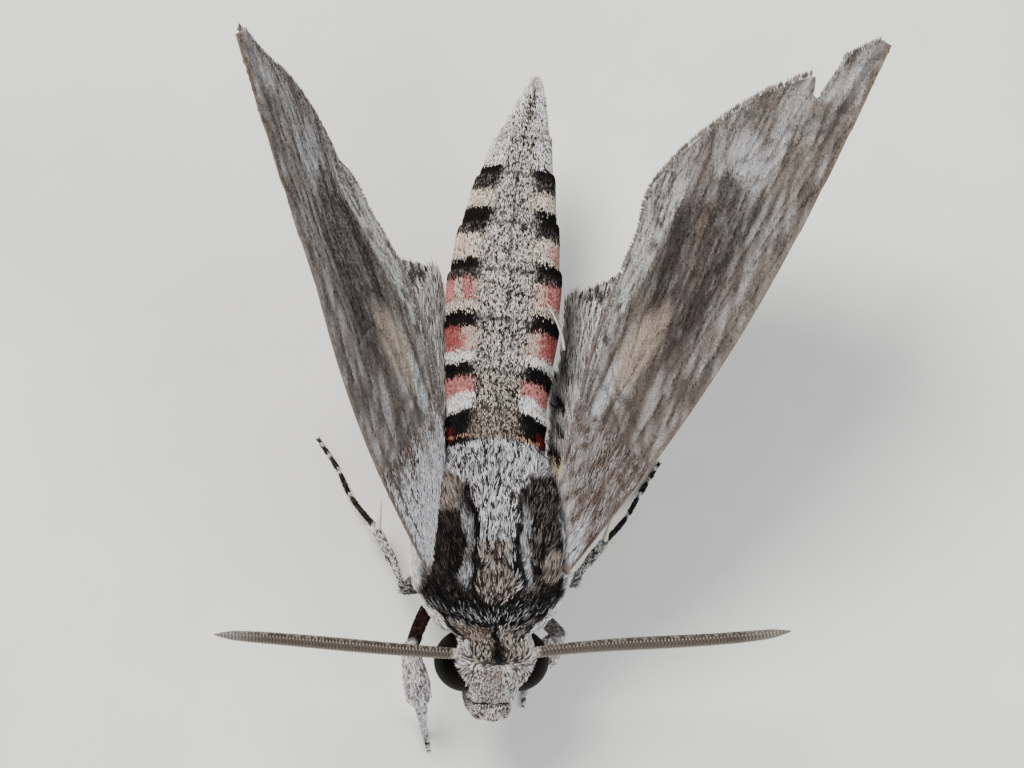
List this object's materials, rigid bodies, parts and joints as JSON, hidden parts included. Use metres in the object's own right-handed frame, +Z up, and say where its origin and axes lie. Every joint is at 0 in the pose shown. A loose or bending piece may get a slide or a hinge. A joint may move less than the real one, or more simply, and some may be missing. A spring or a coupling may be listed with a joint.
{
  "type": "hawk moth",
  "caption": "Life-size hawk moth standing on its feet, wings raised in a V, antennae held out to the sides, with a long tapering banded abdomen.",
  "frame": {"origin": "on the floor under the middle of the model's bounding box", "axes": "+Z up; -Y is where the head points; +X is the moth's left side"},
  "size_m": [0.046, 0.0504, 0.039],
  "materials": {
    "grey_fur": "dense grey hair scales, speckled black and white",
    "dark_fur": "black and brown hair scales with pale streaks",
    "abdomen_fur": "grey back, rose, white and black bands on the sides",
    "eye": "glossy dark brown compound eye",
    "antenna": "brown ringed, pale scales along the back edge",
    "tongue": "smooth brown coil",
    "wing": "grey scales with brown streaks",
    "leg": "grey hair scales, speckled black",
    "foot": "dark scales with white rings at the joints"
  },
  "bodies": {
    "root": {"head": "grey_fur", "proboscis": "tongue", "eye_left": "eye", "palp_left": "grey_fur", "antenna_left": "antenna", "eye_right": "eye", "palp_right": "grey_fur", "antenna_right": "antenna", "collar": "grey_fur", "thorax": "grey_fur", "abdomen_1": "abdomen_fur", "abdomen_2": "abdomen_fur", "abdomen_3": "abdomen_fur", "abdomen_4": "abdomen_fur", "abdomen_5": "abdomen_fur", "abdomen_6": "abdomen_fur", "abdomen_7": "abdomen_fur", "abdomen_8": "abdomen_fur", "tegula_left": "dark_fur", "forewing_left": "wing", "hindwing_left": "wing", "tegula_right": "dark_fur", "forewing_right": "wing", "hindwing_right": "wing", "foreleg_left_femur": "leg", "foreleg_left_tibia": "leg", "foreleg_left_tarsus": "foot", "foreleg_right_femur": "leg", "foreleg_right_tibia": "leg", "foreleg_right_tarsus": "foot", "midleg_left_femur": "leg", "midleg_left_tibia": "leg", "midleg_left_tarsus": "foot", "midleg_right_femur": "leg", "midleg_right_tibia": "leg", "midleg_right_tarsus": "foot", "hindleg_left_femur": "leg", "hindleg_left_tibia": "leg", "hindleg_left_tarsus": "foot", "hindleg_right_femur": "leg", "hindleg_right_tibia": "leg", "hindleg_right_tarsus": "foot"}
  },
  "joints": []
}
